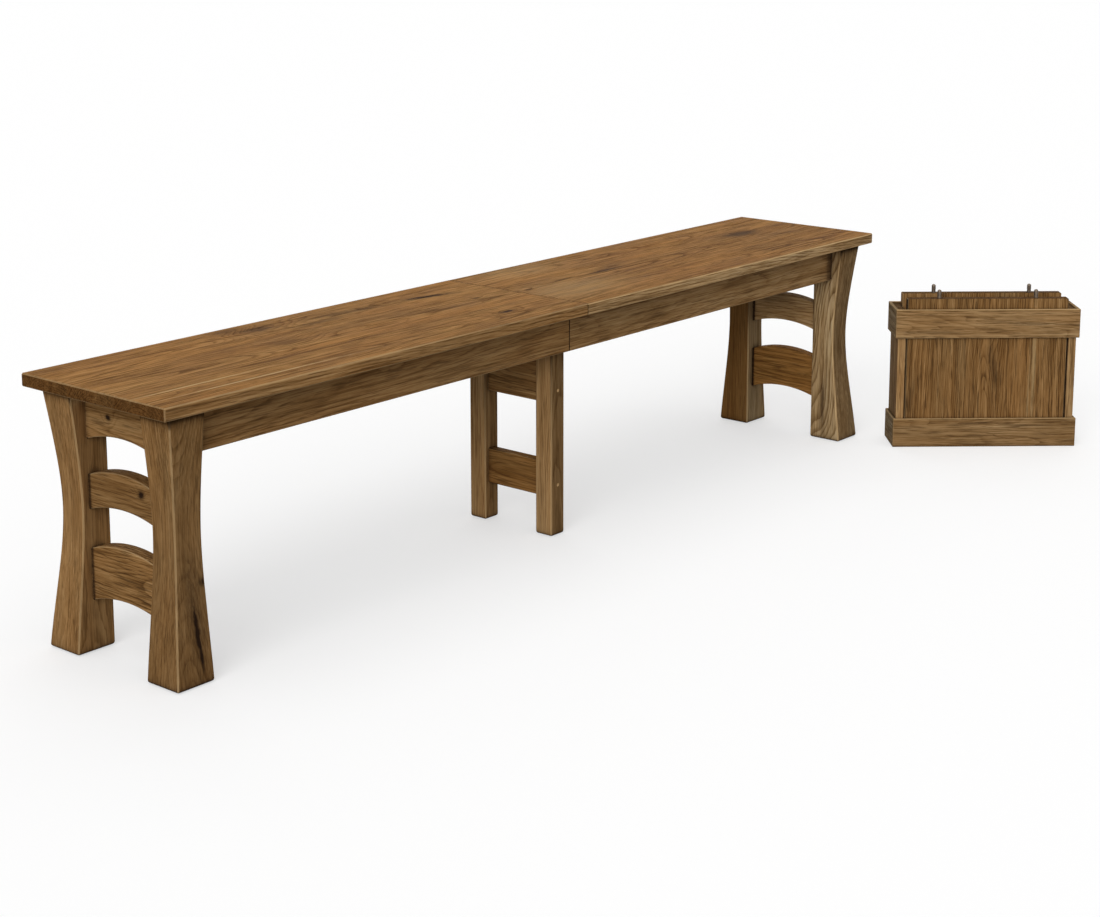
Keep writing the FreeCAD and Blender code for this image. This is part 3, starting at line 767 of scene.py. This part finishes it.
def make_floor():
    data = bpy.data.meshes.new("floor")
    signs = [(-1, -1), (1, -1), (1, 1), (-1, 1)]
    corners = [(x * FLOOR_REACH, y * FLOOR_REACH, -FLOOR_DROP) for x, y in signs]
    data.from_pydata(corners, [], [(0, 1, 2, 3)])
    floor = bpy.data.objects.new("floor", data)
    bpy.context.scene.collection.objects.link(floor)
    material = bpy.data.materials.new("floor")
    material.use_nodes = True
    g = Graph(material.node_tree)
    shader = material.node_tree.nodes["Principled BSDF"]
    shader.inputs["Roughness"].default_value = 1.0
    shader.inputs["Specular IOR Level"].default_value = 0.0
    seen = seen_by_eye(g)
    g.put(shader.inputs["Base Color"], g.mix(seen, (FLOOR_BOUNCE,) * 3, (1.0 - FLOOR_GLOW,) * 3))
    g.put(shader.inputs["Emission Strength"], g.math("MULTIPLY", seen, FLOOR_GLOW))
    data.materials.append(material)


def make_light():
    world = bpy.data.worlds.new("studio")
    bpy.context.scene.world = world
    world.use_nodes = True
    g = Graph(world.node_tree)
    ground = world.node_tree.nodes["Background"]
    ground.inputs["Color"].default_value = (1.0, 1.0, 1.0, 1.0)
    g.put(ground.inputs["Strength"], g.math("MULTIPLY_ADD", seen_by_eye(g), 1.0 - AMBIENT, AMBIENT))
    for name, direction, power, spread in LAMPS:
        data = bpy.data.lights.new(name, "SUN")
        data.energy = power
        data.angle = math.radians(spread)
        lamp = bpy.data.objects.new(name, data)
        lamp.rotation_euler = Vector(direction).to_track_quat("Z", "Y").to_euler()
        bpy.context.scene.collection.objects.link(lamp)


# The crate's own directions: along its front, and out of its front
TURN = math.radians(-48.7)
CRATE_ALONG = Vector((math.cos(TURN), math.sin(TURN), 0))
CRATE_OUT = Vector((math.sin(TURN), -math.cos(TURN), 0))

# Looks that boards of one kind share: inputs of the hickory group, and foot, side and ends of stained()
TOP = dict(Plank=0.1163, Pith=0.045, Tone=0.98, Contrast=0.85, Grey=-0.35)
APRON = dict(Pith=0.07, Contrast=0.8, Figure=0.6)
LEG = dict(Pith=0.08, Contrast=0.55, foot=True)
CENTRE_LEG = dict(Pith=0.05, Contrast=0.55, foot=True)
RAIL = dict(Pith=0.05, Contrast=0.85)
CRATE = dict(Pith=0.10, Figure=0.6, Ring=0.0032, Contrast=0.85)
LEAF = dict(Pith=0.022, Taper=0.05, Drift=0.0, Aside=-0.004, Figure=0.8, Tone=0.80)
SLIDE = dict(Pith=0.08, Contrast=0.4, Figure=0.4, Tone=1.7, Grey=0.4)
BLOCK = dict(Pith=0.06, Contrast=0.6, Tone=1.25)
DOWEL = dict(Pith=0.01, Contrast=0.3, Tone=2.4, Grey=0.8, ends=0.0)

# How far the edges are eased, in metres
TOP_EASE = 0.0009
LEG_EASE = 0.0013
CENTRE_LEG_EASE = 0.0008
EASE = 0.0006
LEAF_EASE = 0.0007

# Every board: node, grain, direction across the board, eased edge, look
# A look's side paints light and shade on the faces that look across the board
BOARDS = [
    ("left_top", X, Y, TOP_EASE, dict(TOP, side=(1.15, 0.2), ends=1.5)),
    ("right_top", X, Y, TOP_EASE, dict(TOP, side=(1.80, 0.9))),
    ("left_apron_front", X, Z, EASE, dict(APRON, Tone=1.10, Grey=0.2)),
    ("left_apron_rear", X, Z, EASE, dict(APRON, Tone=1.15, Grey=0.2)),
    # Lighter and greyer than the other aprons: painted light from the front right
    ("right_apron_front", X, Z, EASE, dict(APRON, Tone=1.25, Grey=0.4)),
    ("right_apron_rear", X, Z, EASE, dict(APRON, Tone=1.15, Grey=0.2)),
    ("left_leg_front", Z, X, LEG_EASE, dict(LEG, Tone=0.95, Grey=0.1)),
    ("left_leg_rear", Z, X, LEG_EASE, dict(LEG, Tone=1.08, Grey=0.2)),
    # Its greyness and its lighter side faces paint light from the front right
    ("right_leg_front", Z, X, LEG_EASE, dict(LEG, Pith=0.03, Taper=0.10, Figure=1.5, Contrast=0.7,
                                             Tone=1.06, Grey=0.8, side=(1.62, 1.1))),
    ("right_leg_rear", Z, X, LEG_EASE, dict(LEG, Tone=1.25, Grey=1.1, side=(0.62, -0.4))),
    ("left_end_top_rail", Y, Z, EASE, dict(RAIL, Pith=0.06, Tone=0.88)),
    ("left_end_middle_rail", Y, Z, EASE, dict(RAIL, Tone=0.75)),
    ("left_end_lower_rail", Y, Z, EASE, dict(RAIL, Tone=0.92, Contrast=1.0)),
    ("right_end_top_rail", Y, Z, EASE, dict(RAIL, Pith=0.06, Tone=1.05, Grey=0.2)),
    ("right_end_middle_rail", Y, Z, EASE, dict(RAIL, Tone=1.35, Grey=0.6)),
    ("right_end_lower_rail", Y, Z, EASE, dict(RAIL, Tone=0.92, Grey=-0.6)),
    ("centre_leg_front", Z, X, CENTRE_LEG_EASE, dict(CENTRE_LEG, Tone=0.80, Grey=0.4, side=(1.4, 0.5))),
    ("centre_leg_rear", Z, X, CENTRE_LEG_EASE, dict(CENTRE_LEG, Tone=1.0, Grey=0.4, side=(1.45, 0.5))),
    ("centre_upper_rail", Y, Z, EASE, dict(RAIL, Tone=1.02)),
    ("centre_lower_rail", Y, Z, EASE, dict(RAIL, Tone=0.82, Grey=-0.4, Contrast=0.7)),
    ("crate_front_top_band", CRATE_ALONG, Z, EASE, dict(CRATE, Tone=1.0, Grey=0.45)),
    ("crate_front_bottom_band", CRATE_ALONG, Z, EASE, dict(CRATE, Tone=0.92, Grey=0.45)),
    ("crate_rear_bands", CRATE_ALONG, Z, EASE, dict(CRATE, Tone=1.0, Grey=0.4)),
    ("crate_left_bands", CRATE_OUT, Z, EASE, dict(CRATE, Tone=0.90, Grey=1.2)),
    ("crate_right_bands", CRATE_OUT, Z, EASE, dict(CRATE, Tone=0.95, Grey=0.4)),
    ("crate_side_left", Z, CRATE_OUT, EASE, dict(CRATE, Tone=0.90, Grey=0.5, side=(1.22, 0.5))),
    ("crate_side_right", Z, CRATE_OUT, EASE, dict(CRATE, Tone=0.95, Grey=0.4, side=(1.22, 0.5))),
    ("crate_floor", CRATE_ALONG, CRATE_OUT, EASE, dict(CRATE, Tone=0.9)),
    ("crate_spacers", Z, CRATE_OUT, EASE, dict(CRATE, Tone=0.9)),
    ("leaf_front", Z, CRATE_ALONG, LEAF_EASE, LEAF),
    ("leaf_rear", Z, CRATE_ALONG, LEAF_EASE, LEAF),
]


def on_crate(along, out, height):
    """A place of the crate in bench metres."""
    return CRATE_ALONG * along + CRATE_OUT * out + Z * height


# Marks that the photograph shows, each (place, size along, across and through the board, depth, lean, bend).
# A negative depth is a pale patch. The lean is in degrees, and ALL is wider than any board.
# Some marks paint shade: the seam and gap lines, and the shadows where rails meet legs and beside the right
# front leg. The pale lines on the crate bands' top edges are painted highlights.
ALL = 1.0
# A painted shade line in the gap between the two halves
SEAM_SHADE = ((0.0, 0.0, 0.4), (0.0011, 4.0, 4.0), 0.9, 0, 0.0)
MARKS = {
    "left_apron_front": [SEAM_SHADE],
    "left_apron_rear": [SEAM_SHADE],
    # The second mark is a painted shadow beside the right front leg
    "right_apron_front": [SEAM_SHADE, ((0.8880, -0.1305, 0.398), (0.011, ALL, ALL), 0.7, 0, 0.0)],
    "right_apron_rear": [SEAM_SHADE],
    "left_top": [
        SEAM_SHADE,
        ((-0.535, 0.125, 0.457), (0.034, 0.016, ALL), 0.60, 0, 0.032),
        ((-0.585, 0.153, 0.457), (0.028, 0.012, ALL), 0.40, 0, -0.030),
        ((-0.422, 0.087, 0.457), (0.070, 0.008, ALL), 0.50, 0, 0.016),
        ((-0.573, 0.016, 0.457), (0.034, 0.018, ALL), 0.35, 0, 0.022),
        ((-0.329, 0.111, 0.457), (0.090, 0.010, ALL), 0.50, -6, 0.012),
        ((-0.480, 0.150, 0.457), (0.300, 0.020, ALL), 0.16, 0, 0.0),
        ((-0.440, 0.020, 0.457), (0.260, 0.060, ALL), 0.09, 0, 0.0),
        ((-0.143, 0.096, 0.457), (0.055, 0.008, ALL), 0.95, -12, 0.020),
        ((-0.146, -0.105, 0.457), (0.018, 0.006, ALL), 1.0, 0, 0.014),
        ((-0.093, 0.017, 0.457), (0.009, 0.004, ALL), 0.8, 0, 0.006),
        ((-0.864, -0.095, 0.457), (0.112, 0.0022, 0.006), -0.9, 0, 0.0),
        ((-0.760, -0.133, 0.457), (0.156, 0.0022, 0.006), -0.9, 0, 0.0),
    ],
    "right_top": [
        SEAM_SHADE,
        ((0.030, -0.007, 0.457), (0.012, 0.004, ALL), 0.8, 0, 0.006),
        ((0.143, 0.009, 0.457), (0.034, 0.005, ALL), 0.6, 4, 0.010),
        ((0.270, 0.004, 0.457), (0.050, 0.006, ALL), 0.7, 4, 0.012),
        ((0.205, 0.006, 0.457), (0.100, 0.0016, ALL), 0.5, 0, 0.0),
        ((0.799, 0.044, 0.457), (0.050, 0.022, ALL), 0.7, 0, 0.026),
        ((0.760, 0.000, 0.457), (0.200, 0.060, ALL), 0.04, 0, 0.0),
        ((0.975, 0.023, 0.457), (0.020, 0.004, ALL), 0.5, 30, 0.0),
        ((0.154, 0.129, 0.457), (0.100, 0.040, ALL), -0.22, 0, 0.0),
        ((0.100, -0.060, 0.457), (0.120, 0.060, ALL), -0.26, 0, 0.0),
    ],
    "left_end_top_rail": [((-0.9375, 0.028, 0.398), (0.006, 0.005, 0.012), 1.0, 0, 0.008)],
    # Painted shadow where the rail meets the rear leg
    "left_end_lower_rail": [((-0.9375, 0.0815, 0.138), (0.0030, ALL, ALL), 0.6, 0, 0.0)],
    "left_end_middle_rail": [
        # Painted shadow where the rail meets the rear leg
        ((-0.9375, 0.0815, 0.274), (0.0030, ALL, ALL), 0.6, 0, 0.0),
        ((-0.9375, -0.046, 0.288), (0.007, 0.006, 0.012), 1.0, 0, 0.010),
        ((-0.9375, -0.075, 0.309), (0.014, 0.004, 0.012), 0.5, -20, 0.006),
    ],
    "left_leg_front": [
        ((-0.935, -0.120, 0.080), (0.150, ALL, ALL), 0.24, 0, 0.0),
        ((-0.924, -0.152, 0.180), (0.040, 0.013, 0.012), 0.40, 0, 0.0),
        ((-0.924, -0.156, 0.110), (0.060, 0.012, 0.012), 0.45, -3, 0.0),
        ((-0.923, -0.157, 0.090), (0.022, 0.0032, 0.012), 0.85, -3, 0.0),
        ((-0.919, -0.159, 0.050), (0.022, 0.0025, 0.012), 0.9, -4, 0.0),
        ((-0.901, -0.153, 0.160), (0.007, 0.009, 0.012), 0.9, 0, 0.0),
    ],
    "left_leg_rear": [((-0.960, 0.079, 0.430), (0.014, 0.020, 0.012), -0.5, 0, 0.0)],
    "right_end_middle_rail": [
        # Painted shadow where the rail meets the rear leg
        ((0.9125, 0.0815, 0.274), (0.0026, ALL, ALL), 0.9, 0, 0.0),
        # Painted shade on the rail's upper rear part, under the top
        ((0.9125, 0.040, 0.305), (0.050, 0.020, ALL), 0.35, 0, 0.0),
    ],
    # Painted shadow where the rail meets the rear leg
    "right_end_lower_rail": [((0.9125, 0.0815, 0.138), (0.0026, ALL, ALL), 0.9, 0, 0.0)],
    "right_leg_front": [
        ((0.8965, -0.119, 0.066), (0.075, 0.030, 0.012), 0.25, 0, 0.016),
        ((0.8965, -0.116, 0.085), (0.040, 0.030, 0.003), 0.55, 0, 0.0),
    ],
    "leaf_front": [
        # The first two marks paint shade in the gaps beside the side boards
        (on_crate(0.8489, -0.5356, 0.170), (ALL, 0.0016, ALL), 0.95, 0, 0.0),
        (on_crate(1.1979, -0.5356, 0.170), (ALL, 0.0016, ALL), 0.95, 0, 0.0),
        (on_crate(1.1270, -0.5356, 0.200), (0.120, 0.0034, ALL), -0.60, 0, 0.0),
        (on_crate(1.1180, -0.5356, 0.120), (0.080, 0.0020, ALL), -0.35, 0, 0.0),
        (on_crate(1.0420, -0.5356, 0.170), (0.034, 0.008, ALL), 0.45, -4, 0.004),
        (on_crate(1.0300, -0.5356, 0.205), (0.024, 0.006, ALL), 0.35, 0, 0.010),
        (on_crate(0.9700, -0.5356, 0.210), (0.060, 0.010, ALL), -0.14, 0, 0.0),
        (on_crate(0.8620, -0.5356, 0.110), (0.060, 0.008, ALL), 0.35, 8, 0.006),
    ],
    # The side boards' marks paint shade at the gaps beside the leaf
    "crate_side_left": [(on_crate(0.8474, -0.5356, 0.170), (ALL, ALL, 0.0014), 0.9, 0, 0.0)],
    "crate_side_right": [(on_crate(1.1994, -0.5356, 0.170), (ALL, ALL, 0.0014), 0.9, 0, 0.0)],
    "crate_front_top_band": [
        (on_crate(1.110, -0.5291, 0.2750), (0.060, 0.0030, ALL), 0.40, -2, 0.006),
        (on_crate(0.900, -0.5291, 0.2560), (0.050, 0.0025, ALL), 0.35, 0, 0.004),
        # A painted highlight along the band's top edge
        (on_crate(1.000, -0.5291, 0.3060), (ALL, 0.0012, ALL), -0.55, 0, 0.0),
    ],
    "crate_front_bottom_band": [
        (on_crate(1.000, -0.5291, 0.0520), (0.050, 0.0030, ALL), 0.45, 2, 0.006),
        (on_crate(1.120, -0.5291, 0.0470), (0.050, 0.0025, ALL), 0.40, 0, 0.004),
        # A painted highlight along the band's top edge
        (on_crate(1.000, -0.5291, 0.0635), (ALL, 0.0012, ALL), -0.55, 0, 0.0),
    ],
}


# Each board's seed lies this far from the one before, so that no two boards have the same wood
SEED_STEP = 3.71
REST_SEED, REST_SEED_STEP = 200, 2.3


def dress_boards():
    """Eased and stained pieces that stand for the boards."""
    for number, (node, grain, across, width, look) in enumerate(BOARDS):
        seed = number * SEED_STEP
        material = stained(node + "_hickory", node, grain, across, seed, MARKS.get(node, ()), **look)
        turn, _ = board_frame(node, grain, across)
        rounded(node, material, turn, width, look.get("foot", False))


# What the nodes without a board of their own are made of, found by a word in their names
REST = [
    ("racks", "gear"),
    ("pinion_axles", "steel"),
    ("pinion", "gear"),
    ("carrier", SLIDE),
    ("runner", SLIDE),
    ("dowels", DOWEL),
    ("", BLOCK),
]


def dress_rest(metals):
    """The slides, blocks and gears under the tops keep their CAD shape."""
    shown = [name for name, node in nodes.items() if not node.hide_render]
    for number, name in enumerate(sorted(shown)):
        kind = next(kind for word, kind in REST if word in name)
        if isinstance(kind, str):
            material = metals[kind]
        else:
            low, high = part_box(name)
            size = high - low
            longest = max(range(3), key=lambda i: size[i])
            material = stained(name + "_wood", name, (X, Y, Z)[longest], (Y, Z, X)[longest],
                               REST_SEED + number * REST_SEED_STEP, **kind)
        data = nodes[name].data
        data.materials.clear()
        data.materials.append(material)


# How many screws show under each solid of a node, and where they are under the cross head
SCREWED = {"cross_cleat": 4, "corner_blocks": 1, "top_buttons": 1, "stop_blocks": 2}
CROSS_HEAD_SCREWS = (0.0145, 0.030)


def add_metal(metals):
    """The pins and the screw heads."""
    round_nosed_pins("leaf_front_pins", Z, metals["pin"])
    round_nosed_pins("leaf_rear_pins", Z, metals["pin"])
    round_nosed_pins("right_seam_pins", -X, metals["pin"])
    for half in ("left", "right"):
        spots = []
        for kind, count in SCREWED.items():
            spots += undersides(half + "_" + kind, count)
        under_screws(half + "_screws", spots, metals["screw"], nodes[half + "_top"]["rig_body"])
    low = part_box("cross_head")[0].z
    x, y = CROSS_HEAD_SCREWS
    spots = [bench_middle + Vector((a * x, b * y, low)) for a in (-1, 1) for b in (-1, 1)]
    under_screws("centre_screws", spots, metals["screw"], nodes["cross_head"]["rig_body"])


make_camera()
dress_boards()

# Each metal's name, colour and roughness
metals = {
    "steel": metal("steel", (0.56, 0.55, 0.53), 0.32),
    "gear": metal("gear_steel", (0.48, 0.47, 0.45), 0.42),
    # The pins' dark brown tint paints the wood that they reflect
    "pin": metal("brown_tinted_pin_steel", (0.155, 0.120, 0.090), 0.50),
    "screw": metal("screw_steel", (0.42, 0.37, 0.28), 0.40),
}
add_metal(metals)
dress_rest(metals)
make_floor()
make_light()
